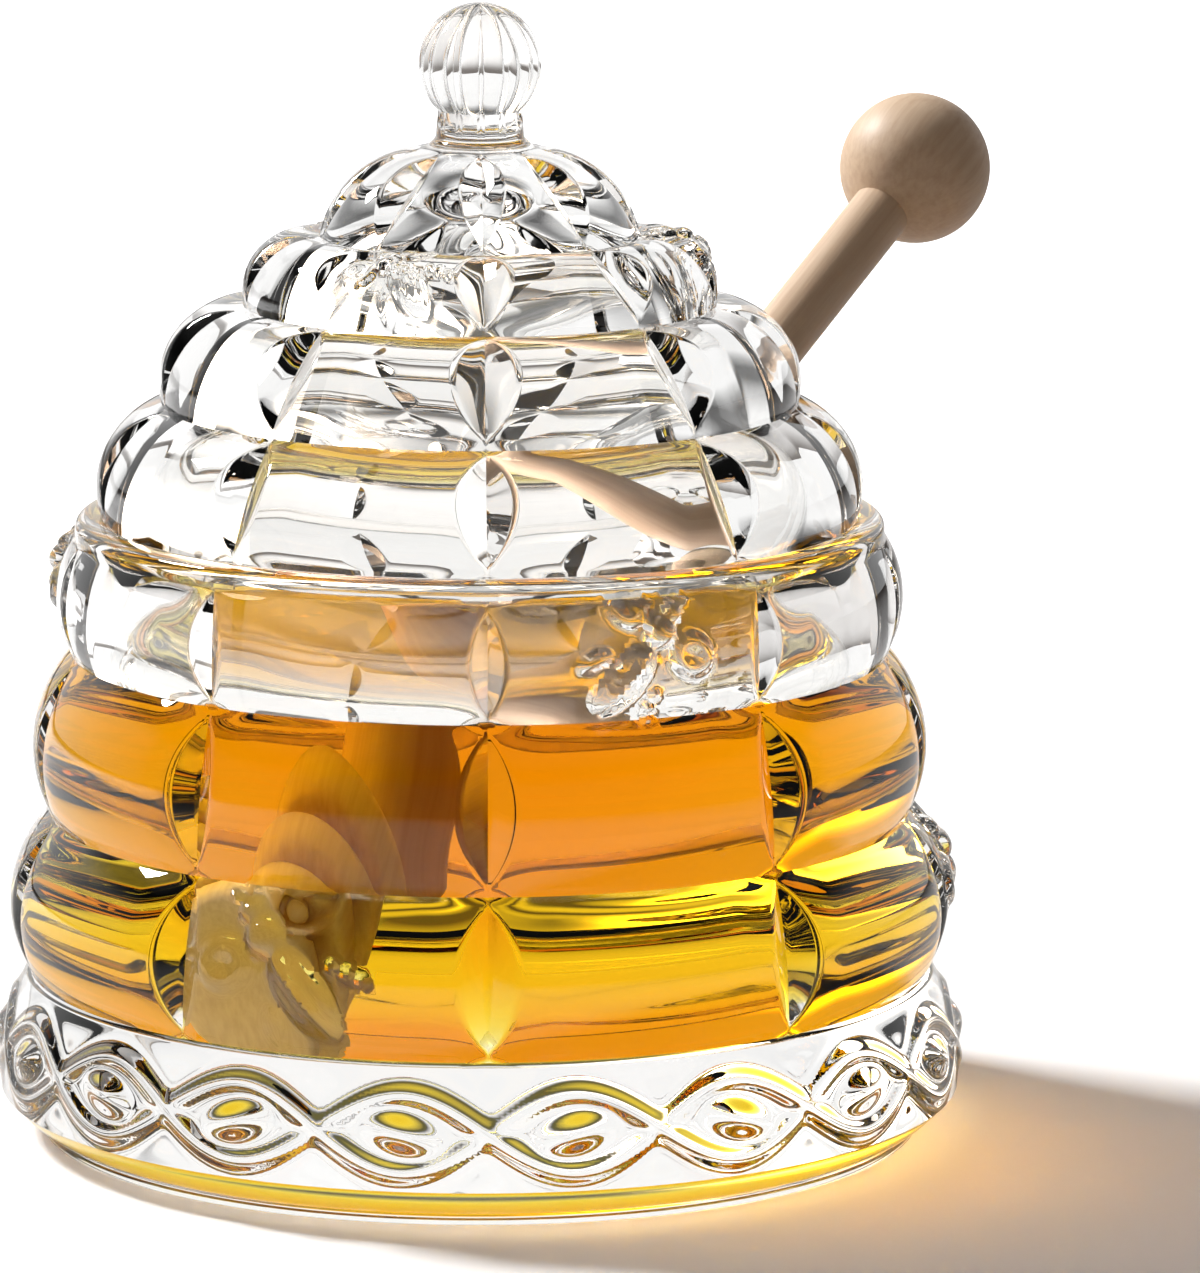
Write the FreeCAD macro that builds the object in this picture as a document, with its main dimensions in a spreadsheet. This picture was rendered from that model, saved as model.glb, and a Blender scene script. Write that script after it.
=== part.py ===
"""Beehive honey pot: pressed glass pot and lid, the honey inside, and its wooden dipper.

Frame: millimetres, +Z up, origin at the centre of the foot on the table. The front faces -Y.
Angles round the pot are measured from +X towards +Y. The pot and the lid are stacks of rounded
rings, as on a straw hive. Each ring is a turned arc between two waists, and upright mitre cuts
part it into equal panels. The dipper leans in the pot and leaves through a notch in the lid.
"""
import FreeCAD
import Part
import os
import re
import Sketcher
from FreeCAD import Vector

SIZES = {
    # The pot's foot: its widest place, that place's height, how far the foot draws in below it to
    # the ring it stands on, and how far that slope bulges.
    "foot_rad": 54.2, "foot_high": 4.8, "foot_in": 5.2, "foot_bulge": 0.5,
    # Rings of the pot, from the table up: a ring's height, how far its upper waist is drawn in
    # from its lower one, how far it bulges past the two, and how deep its mitre cuts go.
    "band_high": 18.4, "band_in": 3.2, "band_bulge": 1.6,
    "low_high": 17.6, "low_in": 2.5, "low_bulge": 3.3, "low_cut": 2.6,
    "mid_high": 18.3, "mid_in": 2.5, "mid_bulge": 3.1, "mid_cut": 2.4,
    "top_high": 13.2, "top_in": 0.5, "top_bulge": 1.9, "top_cut": 1.5,
    "rim_high": 2.1, "rim_wall": 4.2, "rim_round": 1.2,
    # The hollow of the pot: thickness of the base, draw of the wall, corner at the floor.
    "base_thick": 17.0, "wall_draw": 1.3, "well_round": 8.0,
    "honey_deep": 37.3,
    # Rings of the lid, from its seat on the rim up.
    "lid_set_in": 3.0,
    "brim_high": 12.8, "brim_in": 6.8, "brim_bulge": 3.2, "brim_cut": 2.5,
    "cap_high": 11.1, "cap_in": 9.2, "cap_bulge": 3.8, "cap_cut": 2.9,
    "hood_high": 7.7, "hood_in": 8.5, "hood_bulge": 3.3, "hood_cut": 2.5,
    "crown_high": 6.6, "crown_in": 3.5, "crown_bulge": 1.6,
    # The slope that closes the crown to the neck, and the cuts that run down both.
    "slope_high": 3.2, "slope_in": 7.8, "petal_bulge": 3.6, "petal_cut": 2.6,
    # The skirt that centres the lid in the mouth, and the hollow under the lid.
    "skirt_high": 2.6, "skirt_thick": 2.4, "skirt_gap": 0.4,
    "dome_low_high": 11.6, "dome_low_in": 6.5, "dome_mid_high": 28.2, "dome_mid_in": 21.8,
    "dome_high": 35.4,
    # The neck and the ribbed ball on top.
    "neck_rad": 4.7, "neck_flare": 1.8, "knob_up": 9.25, "knob_rad": 6.95,
    "flutes": 12, "flute_rad": 1.3, "flute_cut": 0.6, "flute_start": -48.0, "flute_sweep": 100.0,
    # The panels round every ring: how many, where the first cut is, how wide a cut is ground.
    "panels": 9, "first_cut": -89.0, "cutter_rad": 5.0,
    # The bees: three to a ring, raised on the panels. An egg is given by its three half lengths.
    "bees": 3, "bee_sunk": 0.5, "bee_middle": 4.3,
    "tail_long": 5.6, "tail_wide": 2.5, "tail_thick": 2.0, "tail_back": 6.9,
    "chest_rad": 2.3, "head_rad": 1.6, "head_front": 2.7,
    "wing_long": 3.4, "wing_wide": 2.5, "wing_thick": 1.4, "wing_aside": 5.5, "wing_sunk": 0.5,
    "hind_long": 2.8, "hind_wide": 1.3, "hind_aside": 4.8, "hind_back": 8.0, "hind_splay": 30.0,
    "low_bee_panel": -0.6, "low_bee_lean": 39.0, "low_bee_share": 0.95,
    "top_bee_panel": 0.5, "top_bee_lean": -39.0, "top_bee_share": 0.75,
    "hood_bee_panel": -0.55, "hood_bee_lean": 43.0, "hood_bee_share": 0.7,
    # The leaves of the vine round the foot: a pair to each panel, leaning both ways.
    "leaf_up": 10.8, "leaf_long": 4.6, "leaf_wide": 2.2, "leaf_thick": 1.6, "leaf_lean": 24.0,
    "leaf_sunk": 0.8,
    # The dipper: a straight rod, a head of grooved discs, a drilled ball on the other end.
    "dipper_panel": 3.5, "dipper_long": 150.0, "rod_rad": 3.6, "ball_rad": 9.0,
    "bore_deep": 8.0, "tip_inset": 5.0, "lean_gap": 0.02,
    "disc_count": 6, "disc_pitch": 4.0, "disc_thick": 2.4, "disc_round": 0.9,
    "disc_rad": 9.5, "tip_rad": 7.5, "groove_rad": 4.6,
    # Room round the rod in the notch of the lid.
    "notch_gap": 1.2,
}

doc = FreeCAD.newDocument("BeehiveHoneyPot")
sheet = doc.addObject("Spreadsheet::Sheet", "Sizes")
for row, (size_name, size_value) in enumerate(SIZES.items(), 1):
    sheet.set(f"A{row}", size_name)
    sheet.set(f"B{row}", str(size_value))
    sheet.setAlias(f"B{row}", size_name)
worked = doc.addObject("App::VarSet", "Worked")
owner = {size_name: "Sizes" for size_name in SIZES}
doc.recompute()


# ---------------------------------------------------------------- sizes worked out from the sheet

def spell(text):
    """Write each size named in an expression with the object that holds it."""
    return re.sub(r"[a-z_]+", lambda word: owner[word[0]] + "." + word[0]
                  if word[0] in owner else word[0], text)


def work(name, text):
    """Keep a size that follows from others under its own name."""
    worked.addProperty("App::PropertyFloat", name, "Worked", "")
    worked.setExpression(name, spell(text))
    owner[name] = "Worked"


def value(text):
    """The number that an expression has now."""
    return float(sheet.evalExpression(spell(text)))


def work_ring(ring, low_rad, low_up, spare="0"):
    """Work out a ring's upper waist, its lean and its arc from the waist below it.

    spare is the part of the ring's height below the arc."""
    work(ring + "_rad", f"{low_rad} - {ring}_in")
    work(ring + "_up", f"{low_up} + {ring}_high")
    work(ring + "_chord", f"sqrt(({ring}_high - {spare})^2 + {ring}_in^2)")
    work(ring + "_lean", f"atan({ring}_in / ({ring}_high - {spare})) / 1deg")
    work(ring + "_arc", f"{ring}_chord^2 / (8 * {ring}_bulge) + {ring}_bulge / 2")


work("foot_chord", "sqrt(foot_high^2 + foot_in^2)")
work("foot_arc", "foot_chord^2 / (8 * foot_bulge) + foot_bulge / 2")
work_ring("band", "foot_rad", "0", "foot_high")
work_ring("low", "band_rad", "band_up")
work_ring("mid", "low_rad", "low_up")
work_ring("top", "mid_rad", "mid_up")
work("pot_up", "top_up + rim_high")
work("mouth_rad", "top_rad - rim_wall")
work("well_rad", "mouth_rad - wall_draw")
work("honey_up", "base_thick + honey_deep")
work("wall_start", "base_thick + well_round")
work("wall_slope", "wall_draw / (pot_up - rim_round - wall_start)")
work("honey_rad", "well_rad + wall_slope * (honey_up - wall_start)")

work("seat_rad", "top_rad - lid_set_in")
work_ring("brim", "seat_rad", "pot_up")
work_ring("cap", "brim_rad", "brim_up")
work_ring("hood", "cap_rad", "cap_up")
work_ring("crown", "hood_rad", "hood_up")
work("skirt_rad", "mouth_rad - skirt_gap")
work("dome_rad", "skirt_rad - skirt_thick")
work("vault_rad", "dome_rad - dome_mid_in")
work("vault_arc", "(vault_rad^2 / (dome_high - dome_mid_high) + dome_high - dome_mid_high) / 2")
work("slope_rad", "crown_rad - slope_in")
work("slope_up", "crown_up + slope_high")
work("petal_high", "crown_high + slope_high")
work("petal_in", "crown_in + slope_in")
work("petal_chord", "sqrt(petal_high^2 + petal_in^2)")
work("petal_lean", "atan(petal_in / petal_high) / 1deg")
work("neck_up", "slope_up + neck_flare")
work("flare_arc", "((slope_rad - neck_rad)^2 + neck_flare^2) / (2 * neck_flare)")
work("knob_mid", "slope_up + knob_up")
work("knob_low", "knob_mid - sqrt(knob_rad^2 - neck_rad^2)")

# The dipper's tip stands on the floor of the well, and its rod leans on the inner round of the rim.
work("dipper_turn", "first_cut + dipper_panel * 360 / panels")
work("tip_out", "well_rad - tip_inset")
work("near_tilt", "atan((pot_up - base_thick) / (mouth_rad + tip_out)) / 1deg")
work("tip_up", "base_thick + tip_rad * cos(near_tilt)")
work("lean_out", "mouth_rad + rim_round + tip_out")
work("lean_up", "pot_up - rim_round - tip_up")
work("lean_far", "sqrt(lean_out^2 + lean_up^2)")
work("dipper_tilt", "(atan(lean_up / lean_out) + asin((rod_rad + rim_round + lean_gap) / lean_far)) / 1deg")
work("ball_far", "dipper_long - ball_rad")
work("rod_far", "ball_far - ball_rad + bore_deep")
work("notch_rad", "rod_rad + notch_gap")
work("notch_up", "tip_up + (seat_rad + tip_out) * tan(dipper_tilt) + rod_rad * (1 / cos(dipper_tilt) - 1)")
doc.recompute()


# ---------------------------------------------------------------- ways of making a piece

def origin_part(body, role):
    """One of a body's own origin planes or axes."""
    return next(o for o in body.Origin.OriginFeatures if o.Role == role)


def draw_outline(body, name, corners):
    """Draw a closed outline in the body's XZ plane, bound to the sheet.

    A corner is (out, up) or (out, up, arc): the edge that leaves it is straight, or an arc of that
    radius. The outline runs with the material on its left. An arc bulges away from the material,
    or into it if its radius starts with a minus sign."""
    sketch = body.newObject("Sketcher::SketchObject", name)
    sketch.AttachmentSupport = (origin_part(body, "XZ_Plane"), "")
    sketch.MapMode = "FlatFace"
    places = [Vector(value(corner[0]), value(corner[1]), 0) for corner in corners]
    ends = []
    for index, corner in enumerate(corners):
        here, there = places[index], places[(index + 1) % len(corners)]
        if len(corner) == 2:
            sketch.addGeometry(Part.LineSegment(here, there))
            ends.append((1, 2))
            continue
        hollow = corner[2].startswith("-")
        radius = value(corner[2].lstrip("-"))
        half = (there - here) * 0.5
        inward = Vector(-half.y, half.x, 0).normalize() * (-1 if hollow else 1)
        middle = here + half + inward * (radius**2 - half.Length**2) ** 0.5
        first, last = (there, here) if hollow else (here, there)
        crest = middle - inward * radius
        sketch.addGeometry(Part.Arc(first, crest, last))
        ends.append((2, 1) if hollow else (1, 2))
    for index, corner in enumerate(corners):
        following = (index + 1) % len(corners)
        sketch.addConstraint(Sketcher.Constraint(
            "Coincident", index, ends[index][1], following, ends[following][0]))
        for kind, text, number in (("DistanceX", corner[0], places[index].x),
                                   ("DistanceY", corner[1], places[index].y)):
            if text == "0":
                axis = -2 if kind == "DistanceX" else -1
                sketch.addConstraint(Sketcher.Constraint("PointOnObject", index, ends[index][0], axis))
                continue
            held = sketch.addConstraint(Sketcher.Constraint(
                kind, -1, 1, index, ends[index][0], number))
            sketch.setExpression(f"Constraints[{held}]", spell(text))
        if len(corner) == 3:
            text = corner[2].lstrip("-")
            held = sketch.addConstraint(Sketcher.Constraint("Radius", index, value(text)))
            sketch.setExpression(f"Constraints[{held}]", spell(text))
    return sketch


def turn_outline(body, name, corners):
    """Turn a closed outline once round the body's Z axis."""
    sketch = draw_outline(body, name + "_outline", corners)
    turned = body.newObject("PartDesign::Revolution", name)
    turned.Profile = sketch
    turned.ReferenceAxis = (sketch, ["V_Axis"])
    turned.Angle = 360
    body.Tip = turned
    return turned


def set_out(item, sizes, out, across, up, turn, lean="0", roll="0"):
    """Size a primitive and place it from its distance out from the pot's axis, across and up.

    It is turned round the pot, leaned in with the wall, and rolled about the line that points out."""
    for size_name, text in sizes.items():
        item.setExpression(size_name, spell(text))
    out, across = f"({out})", f"({across})"
    item.setExpression("Placement.Base.x", spell(f"{out} * cos({turn}) - {across} * sin({turn})"))
    item.setExpression("Placement.Base.y", spell(f"{out} * sin({turn}) + {across} * cos({turn})"))
    item.setExpression("Placement.Base.z", spell(up))
    item.setExpression("Placement.Rotation", spell(f"rotation({turn}; -({lean}); {roll})"))
    return item


def repeat_round(body, name, feature, count):
    """Repeat a cut evenly round the body's Z axis."""
    pattern = body.newObject("PartDesign::PolarPattern", name)
    pattern.Originals = [feature]
    pattern.Axis = (origin_part(body, "Z_Axis"), [""])
    pattern.Angle = 360
    pattern.setExpression("Occurrences", spell(count))
    body.Tip = pattern
    return pattern


def cut_panels(body, ring, below, below_up):
    """Grind a ring's mitre cuts, from the waist below it: a square cutter held edge on."""
    offset = f"({ring}_bulge - {ring}_cut + cutter_rad)"
    cut = body.newObject("PartDesign::SubtractivePrism", ring + "_mitre")
    cut.Polygon = 4
    set_out(cut, {"Circumradius": "cutter_rad", "Height": ring + "_chord"},
            out=f"{below} + {offset} * cos({ring}_lean)", across="0",
            up=f"{below_up} + {offset} * sin({ring}_lean)", turn="first_cut", lean=ring + "_lean")
    repeat_round(body, ring + "_mitres", cut, "panels")


def raise_bees(ring, below, below_up):
    """Make a ring's bees, each a set of eggs half sunk in the glass: tail, chest, head and wings.

    The bee is laid out with its head up, then rolled, and bent to the panel's two curves."""
    roll, lean, share = ring + "_bee_lean", ring + "_lean", ring + "_bee_share"
    lift = f"({ring}_bulge - bee_sunk * {share})"
    middle_out = f"({below} - {ring}_in / 2 + {lift} * cos({lean}))"
    middle_up = f"({below_up} + {ring}_high / 2 + {lift} * sin({lean}))"
    eggs = [("tail", "tail_long", "tail_wide", "tail_thick", "0", "-tail_back", "0", "0"),
            ("chest", "chest_rad", "chest_rad", "tail_thick", "0", "0", "0", "0"),
            ("head", "head_rad", "head_rad", "head_rad", "0", "head_front", "0", "0")]
    for side, sign in (("left", "-1"), ("right", "1")):
        eggs.append((side + "_wing", "wing_long", "wing_wide", "wing_thick",
                     f"{sign} * wing_aside", "0", "90", "wing_sunk"))
        eggs.append((side + "_hind", "hind_long", "hind_wide", "hind_wide",
                     f"{sign} * hind_aside", "-hind_back", f"{sign} * hind_splay", "wing_sunk"))
    pieces = []
    for bee in range(int(value("bees"))):
        turn = f"(first_cut + {ring}_bee_panel * 360 / panels + {bee} * 360 / bees)"
        for name, high, wide, thick, aside, ahead, twist, sunk in eggs:
            aside, ahead = f"({aside}) * {share}", f"({ahead} + bee_middle) * {share}"
            across = f"({aside} * cos({roll}) - {ahead} * sin({roll}))"
            rise = f"({aside} * sin({roll}) + {ahead} * cos({roll}))"
            drop = f"({across}^2 / (2 * {middle_out}) + {rise}^2 / (2 * {ring}_arc) + {sunk} * {share})"
            egg = doc.addObject("Part::Ellipsoid", f"{ring}_bee_{bee}_{name}")
            egg.Angle1, egg.Angle2, egg.Angle3 = -90, 90, 360
            set_out(egg, {"Radius1": f"{high} * {share}", "Radius2": f"{thick} * {share}",
                          "Radius3": f"{wide} * {share}"},
                    out=f"{middle_out} - {rise} * sin({lean}) - {drop} * cos({lean})",
                    across=across,
                    up=f"{middle_up} + {rise} * cos({lean}) - {drop} * sin({lean})",
                    turn=turn, lean=lean, roll=f"{roll} + {twist}")
            pieces.append(egg)
    return pieces


def raise_leaves():
    """Make the vine's leaves: two to a panel, one leaning up and one down."""
    leaves = []
    for place in range(2 * int(value("panels"))):
        leaf = doc.addObject("Part::Ellipsoid", f"leaf_{place}")
        leaf.Angle1, leaf.Angle2, leaf.Angle3 = -90, 90, 360
        side = "-" if place % 2 else "+"
        set_out(leaf, {"Radius1": "leaf_long", "Radius2": "leaf_thick", "Radius3": "leaf_wide"},
                out="foot_rad - band_in / 2 + band_bulge - leaf_sunk", across="0", up="leaf_up",
                turn=f"(first_cut + ({place} + 0.5) * 180 / panels)", lean="band_lean",
                roll=f"90 {side} leaf_lean")
        leaves.append(leaf)
    return leaves


def join(name, pieces):
    """Fuse pieces into one, all at once."""
    joined = doc.addObject("Part::MultiFuse", name)
    joined.Shapes = pieces
    joined.Refine = False
    return joined


# ---------------------------------------------------------------- the pieces

def make_pot():
    """The glass pot: a vine band round the thick foot, three rings, and a flat rim."""
    blank = doc.addObject("PartDesign::Body", "pot_blank")
    turn_outline(blank, "pot_turned", [
        ("0", "0"),
        ("foot_rad - foot_in", "0", "foot_arc"),
        ("foot_rad", "foot_high", "band_arc"),
        ("band_rad", "band_up", "low_arc"),
        ("low_rad", "low_up", "mid_arc"),
        ("mid_rad", "mid_up", "top_arc"),
        ("top_rad", "top_up"),
        ("top_rad", "pot_up - rim_round", "rim_round"),
        ("top_rad - rim_round", "pot_up"),
        ("mouth_rad + rim_round", "pot_up", "rim_round"),
        ("mouth_rad", "pot_up - rim_round"),
        ("well_rad", "wall_start", "-well_round"),
        ("well_rad - well_round", "base_thick"),
        ("0", "base_thick"),
    ])
    cut_panels(blank, "low", "band_rad", "band_up")
    cut_panels(blank, "mid", "low_rad", "low_up")
    cut_panels(blank, "top", "mid_rad", "mid_up")
    relief = raise_bees("low", "band_rad", "band_up") + raise_bees("top", "mid_rad", "mid_up")
    return join("glass_pot", [blank] + relief + raise_leaves())


def make_lid():
    """The glass lid: four rings to a ribbed ball, a skirt below, and the dipper's notch."""
    blank = doc.addObject("PartDesign::Body", "lid_blank")
    turn_outline(blank, "lid_turned", [
        ("dome_rad", "pot_up - skirt_high"),
        ("skirt_rad", "pot_up - skirt_high"),
        ("skirt_rad", "pot_up"),
        ("seat_rad", "pot_up", "brim_arc"),
        ("brim_rad", "brim_up", "cap_arc"),
        ("cap_rad", "cap_up", "hood_arc"),
        ("hood_rad", "hood_up", "crown_arc"),
        ("crown_rad", "crown_up"),
        ("slope_rad", "slope_up", "-flare_arc"),
        ("neck_rad", "neck_up"),
        ("neck_rad", "knob_low", "knob_rad"),
        ("0", "knob_mid + knob_rad"),
        ("0", "pot_up + dome_high", "-vault_arc"),
        ("vault_rad", "pot_up + dome_mid_high"),
        ("dome_rad - dome_low_in", "pot_up + dome_low_high"),
        ("dome_rad", "pot_up"),
    ])
    cut_panels(blank, "brim", "seat_rad", "pot_up")
    cut_panels(blank, "cap", "brim_rad", "brim_up")
    cut_panels(blank, "hood", "cap_rad", "cap_up")
    cut_panels(blank, "petal", "hood_rad", "hood_up")
    arch = blank.newObject("PartDesign::SubtractiveCylinder", "notch_arch")
    set_out(arch, {"Radius": "notch_rad", "Height": "mouth_rad"},
            out="mouth_rad / 2", across="0", up="notch_up", turn="dipper_turn", lean="-90")
    gate = blank.newObject("PartDesign::SubtractiveBox", "notch_gate")
    set_out(gate, {"Length": "mouth_rad", "Width": "2 * notch_rad",
                   "Height": "notch_up - pot_up + skirt_high + rim_round"},
            out="mouth_rad / 2", across="-notch_rad", up="pot_up - skirt_high - rim_round",
            turn="dipper_turn")
    blank.Tip = gate
    fluted = doc.addObject("Part::Cut", "lid_fluted")
    fluted.Base = blank
    fluted.Tool = ring_of_flutes()
    return join("glass_lid", [fluted] + raise_bees("hood", "cap_rad", "cap_up"))


def ring_of_flutes():
    """The rounded cutters that part the knob into ribs, each along a meridian of the ball."""
    cutters = []
    for place in range(int(value("flutes"))):
        flute = doc.addObject("Part::Torus", f"knob_flute_{place}")
        set_out(flute, {"Radius1": "knob_rad + flute_rad - flute_cut", "Radius2": "flute_rad",
                        "Angle3": "flute_sweep"},
                out="0", across="0", up="knob_mid",
                turn=f"(first_cut + {place} * 360 / flutes)", lean="flute_start", roll="90")
        cutters.append(flute)
    ring = doc.addObject("Part::Compound", "knob_flutes")
    ring.Links = cutters
    return ring


def lay_dipper(piece):
    """Lay a piece made along its own Z axis on the dipper's line, from the tip out."""
    piece.setExpression("Placement.Base.x", spell("-tip_out * cos(dipper_turn)"))
    piece.setExpression("Placement.Base.y", spell("-tip_out * sin(dipper_turn)"))
    piece.setExpression("Placement.Base.z", spell("tip_up"))
    piece.setExpression("Placement.Rotation", spell("rotation(dipper_turn; 90 - dipper_tilt; 0)"))


def make_dipper_stick():
    """The dipper's stick, turned in one piece: grooved discs at the tip, then a plain rod."""
    stick = doc.addObject("PartDesign::Body", "dipper_stick")
    corners = [("0", "0")]
    count = int(value("disc_count"))
    for disc in range(count):
        low = f"{disc} * disc_pitch"
        swell = f"sin(180 * {disc} / {count - 1})"
        rad = f"tip_rad + (disc_rad - tip_rad) * {swell}"
        corners += [(f"{rad} - disc_round", low, "disc_round"),
                    (rad, f"{low} + disc_round"),
                    (rad, f"{low} + disc_thick - disc_round", "disc_round"),
                    (f"{rad} - disc_round", f"{low} + disc_thick")]
        if disc < count - 1:
            corners += [("groove_rad", f"{low} + disc_thick"),
                        ("groove_rad", f"{low} + disc_pitch")]
    corners += [("rod_rad", f"{count - 1} * disc_pitch + disc_thick"),
                ("rod_rad", "rod_far"),
                ("0", "rod_far")]
    turn_outline(stick, "stick_turned", corners)
    lay_dipper(stick)
    return stick


def make_dipper_ball():
    """The ball on the dipper's end, drilled for the rod."""
    ball = doc.addObject("PartDesign::Body", "dipper_ball")
    globe = ball.newObject("PartDesign::AdditiveSphere", "ball_globe")
    globe.setExpression("Radius", spell("ball_rad"))
    globe.setExpression("Placement.Base.z", spell("ball_far"))
    bore = ball.newObject("PartDesign::SubtractiveCylinder", "ball_bore")
    bore.setExpression("Radius", spell("rod_rad"))
    bore.setExpression("Height", spell("rod_far - ball_far + 2 * ball_rad"))
    bore.setExpression("Placement.Base.z", spell("ball_far - 2 * ball_rad"))
    ball.Tip = bore
    lay_dipper(ball)
    return ball


def make_honey(stick):
    """The honey: it fills the well up to its level, round the dipper's head and rod."""
    fill = doc.addObject("PartDesign::Body", "honey_fill")
    turn_outline(fill, "fill_turned", [
        ("0", "base_thick"),
        ("well_rad - well_round", "base_thick", "well_round"),
        ("well_rad", "wall_start"),
        ("honey_rad", "honey_up"),
        ("0", "honey_up"),
    ])
    honey = doc.addObject("Part::Cut", "honey")
    honey.Base = fill
    honey.Tool = stick
    return honey


pot = make_pot()
lid = make_lid()
stick = make_dipper_stick()
ball = make_dipper_ball()
honey = make_honey(stick)
pieces = [pot, lid, honey, stick, ball]
doc.recompute()

for item in doc.Objects:
    if {"Invalid", "Error"} & set(item.State):
        raise RuntimeError(f"{item.Label} failed: {item.State}")
for piece in pieces:
    if piece.Shape.isNull() or not piece.Shape.isValid() or len(piece.Shape.Solids) != 1:
        raise RuntimeError(f"{piece.Label} isn't one valid solid")

os.makedirs("parts", exist_ok=True)
for piece in pieces:
    piece.Shape.exportStep(f"parts/{piece.Label}.step")
    box = piece.Shape.BoundBox
    print(f"{piece.Label}: {piece.Shape.Volume / 1000:.1f} cm3, "
          f"x {box.XMin:.1f} {box.XMax:.1f}, y {box.YMin:.1f} {box.YMax:.1f}, "
          f"z {box.ZMin:.1f} {box.ZMax:.1f}")
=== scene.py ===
import math

import bpy
import numpy as np
from mathutils import Matrix, Vector


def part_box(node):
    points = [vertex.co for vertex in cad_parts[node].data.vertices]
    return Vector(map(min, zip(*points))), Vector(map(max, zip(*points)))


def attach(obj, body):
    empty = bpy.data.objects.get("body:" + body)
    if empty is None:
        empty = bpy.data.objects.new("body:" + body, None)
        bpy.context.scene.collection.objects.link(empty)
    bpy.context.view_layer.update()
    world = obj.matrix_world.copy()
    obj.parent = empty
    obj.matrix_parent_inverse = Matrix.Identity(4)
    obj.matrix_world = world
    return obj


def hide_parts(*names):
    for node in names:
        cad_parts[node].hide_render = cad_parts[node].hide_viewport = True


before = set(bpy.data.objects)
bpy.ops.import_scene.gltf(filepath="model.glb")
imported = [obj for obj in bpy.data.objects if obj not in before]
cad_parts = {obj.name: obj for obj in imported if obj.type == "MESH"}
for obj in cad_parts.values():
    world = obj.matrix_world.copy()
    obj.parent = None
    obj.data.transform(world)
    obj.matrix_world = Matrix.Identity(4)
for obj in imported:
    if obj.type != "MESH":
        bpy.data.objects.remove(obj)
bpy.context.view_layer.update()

# ------------------------------------------------------------------ glass pot
# The pot is pressed from clear soda-lime glass in a ring mould: a vine band round the thick foot,
# then three rings of nine panels parted by mitre cuts. Three bees stand on the first ring and three
# on the last. The well for the honey is formed by the plunger.

mm = 0.001
TOUCH, MERGE = 0.01 * mm, 0.002 * mm
PANELS = 9
PANEL_TURN = 2 * math.pi / PANELS
FIRST_CUT = math.radians(-89)
CUT_COLUMNS = 6
BEES = 3
POT_COLUMNS = 64
POT_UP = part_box("glass_pot")[1][2]
FOOT_RAD, FOOT_LIP, FOOT_ROUND, FOOT_STAND = 49.9 * mm, 1.1 * mm, 0.4 * mm, 12 * mm
SWELL_RAD, SWELL_UP = 54.2 * mm, 4.8 * mm
BAND_RAD, BAND_UP = 51.0 * mm, 18.4 * mm
LOW_RAD, LOW_UP = 48.5 * mm, 36.0 * mm
MID_RAD, MID_UP = 46.0 * mm, 54.3 * mm
TOP_RAD, TOP_UP = 45.5 * mm, 67.5 * mm
RIM_ROUND = 1.2 * mm
MOUTH_RAD = 41.3 * mm
WELL_RAD = 40.0 * mm
WELL_FLOOR = 17.0 * mm
WELL_ROUND = 8.0 * mm
CUT_DEPTH, CUT_SLOPE, CUT_LEAST = 0.65, 0.5, 0.5 * mm
PILLOW, PILLOW_WIDE = 0.6 * mm, 7 * mm
SOFT_EDGE = 0.12 * mm
SMOOTH_ANGLE = math.radians(38)
HONEY_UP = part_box("honey")[1][2]
WALL_SLOPE = (MOUTH_RAD - WELL_RAD) / (POT_UP - RIM_ROUND - WELL_FLOOR - WELL_ROUND)
HONEY_RAD = WELL_RAD + WALL_SLOPE * (HONEY_UP - WELL_FLOOR - WELL_ROUND)
# The vine and the bees are laid out in millimetres, and the leaves lean by degrees.
VINE_OUT, VINE_MIDDLE, VINE_SWAY, VINE_WIDE, VINE_THICK = 53.5, 10.8, 4.1, 1.35, 0.68
VINE_CROSS, VINE_SOFT = 0.15, 0.3
LEAF_LEAN, LEAF_LONG, LEAF_WIDE, LEAF_THICK, LEAF_FALL = 17.0, 4.0, 2.1, 1.25, 1.1
BEE_MIDDLE, BEE_REACH, NO_BEE, DISH_WIDE = 4.3, 17, -5.0, 0.55


class Outline:
    """Half a section of a turned piece, from one end on the axis to the other."""

    def __init__(self):
        self.out, self.up, self.ring, self.along, self.proud = [], [], [], [], []
        self.rings = []

    def add(self, out, up, ring=-1, along=0.0, proud=0.0):
        self.out.append(out)
        self.up.append(up)
        self.ring.append(ring)
        self.along.append(along)
        self.proud.append(proud)

    def arc(self, start, end, bulge, count, cut=None):
        """An arc up to end, standing out from its chord by bulge.

        With cut, it is a ring of panels, parted by mitre cuts of that depth."""
        chord = math.dist(start, end)
        sweep_rad = chord ** 2 / (8 * abs(bulge)) + abs(bulge) / 2
        half = math.asin(chord / 2 / sweep_rad)
        way = ((end[0] - start[0]) / chord, (end[1] - start[1]) / chord)
        face = (way[1], -way[0])
        middle = ((start[0] + end[0]) / 2, (start[1] + end[1]) / 2)
        ring = -1
        if cut is not None:
            ring = len(self.rings)
            self.rings.append({"middle": middle, "way": way, "face": face, "bulge": bulge,
                               "root": bulge - cut, "cut": cut})
        for step in range(count):
            turn = half * (2 * step / count - 1)
            along = sweep_rad * math.sin(turn)
            proud = math.copysign(sweep_rad * math.cos(turn) - sweep_rad + abs(bulge), bulge)
            self.add(middle[0] + along * way[0] + proud * face[0],
                     middle[1] + along * way[1] + proud * face[1], ring, along, proud)

    def quarter(self, centre, rad, first, last, count):
        """A round edge about a centre, between two angles in degrees."""
        for step in range(count):
            turn = math.radians(first + (last - first) * step / count)
            self.add(centre[0] + rad * math.cos(turn), centre[1] + rad * math.sin(turn))


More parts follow.
